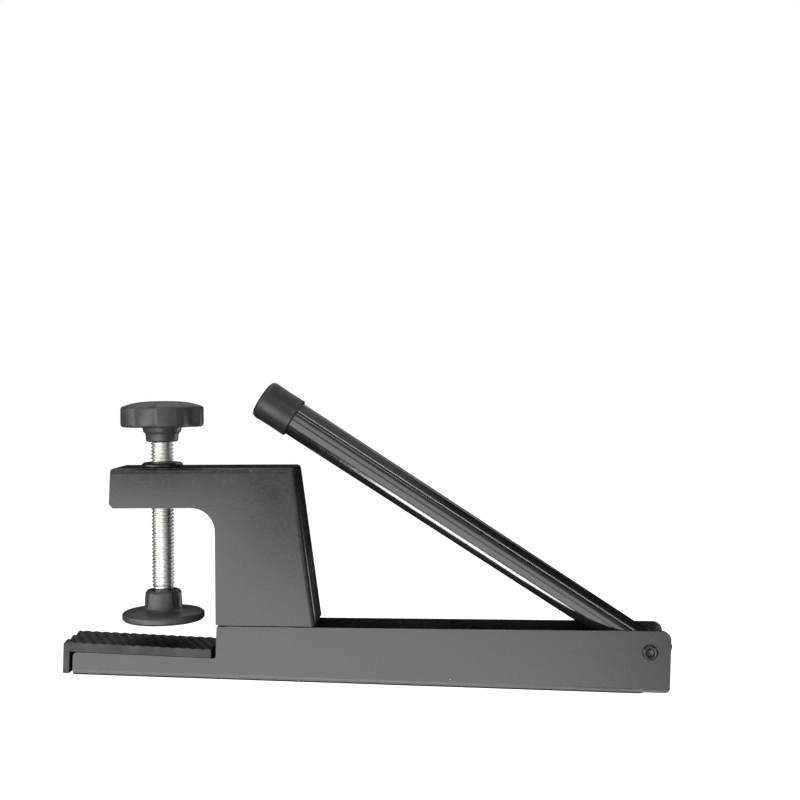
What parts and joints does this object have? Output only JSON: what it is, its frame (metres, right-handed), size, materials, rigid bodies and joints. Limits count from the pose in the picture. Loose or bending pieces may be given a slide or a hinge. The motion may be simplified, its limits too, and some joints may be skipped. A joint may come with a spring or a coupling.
{
  "type": "table tennis net clamp",
  "caption": "Screw clamp for one end of a table tennis net: a channel beam with a ribbed rubber jaw, a folded bracket with clamp screw and swivel foot, and a folding tubular net post.",
  "frame": {"origin": "on the outer face of the beam's web, mid-width, in the plane where the table's edge meets the bracket", "axes": "+X along the beam from the jaw to the post's pivot, +Y across the beam, +Z from the web towards the hand knob; in use the clamp is turned over, so that the jaw pad lies on top of the table and the knob is below it"},
  "size_m": [0.2066, 0.0283, 0.101],
  "materials": {
    "black_paint": "satin black baked enamel on folded steel sheet",
    "gloss_paint": "gloss black baked enamel on steel tube",
    "jaw_rubber": "matt black moulded rubber with diagonal ribs",
    "zinc_plate": "bright zinc plate on a rolled thread",
    "knob_plastic": "moulded black plastic, fine matt texture",
    "foot_plastic": "moulded black plastic, satin",
    "cap_plastic": "moulded soft black plastic, matt",
    "washer_nylon": "natural nylon"
  },
  "bodies": {
    "frame": {"channel_beam": "black_paint", "clamp_bracket": "black_paint", "weld_nut": "black_paint", "jaw_pad": "jaw_rubber", "pivot_rivet": "black_paint", "pivot_washer_front": "washer_nylon", "pivot_washer_rear": "washer_nylon"},
    "ball_end": {"screw_ball_end": "zinc_plate"},
    "screw": {"clamp_screw": "zinc_plate", "hand_knob": "knob_plastic"},
    "foot": {"swivel_foot": "foot_plastic"},
    "post": {"post_tube": "gloss_paint", "post_cap": "cap_plastic"}
  },
  "joints": [
    {"name": "post_fold", "type": "hinge", "parent": "frame", "child": "post", "pos_m": [0.1465, 0, 0.0143], "axis": [0, 1, 0], "range_deg": [-3, 238.6]},
    {"name": "screw_travel", "type": "slide", "parent": "frame", "child": "ball_end", "axis": [-0.0332, 0, 0.9995], "range_m": [-0.0057, 0.034]},
    {"name": "screw_spin", "type": "hinge", "parent": "ball_end", "child": "screw", "pos_m": [-0.01939, 0, 0.0241], "axis": [-0.0332, 0, 0.9995], "range_deg": [-1650, 9800]},
    {"name": "foot_tilt", "type": "hinge", "parent": "ball_end", "child": "foot", "pos_m": [-0.01939, 0, 0.0241], "axis": [0, 1, 0], "range_deg": [-4, 4]}
  ],
  "couplings": [
    {"joint": "screw_spin", "follows": "screw_travel", "rad_per_m": 5026.5}
  ]
}
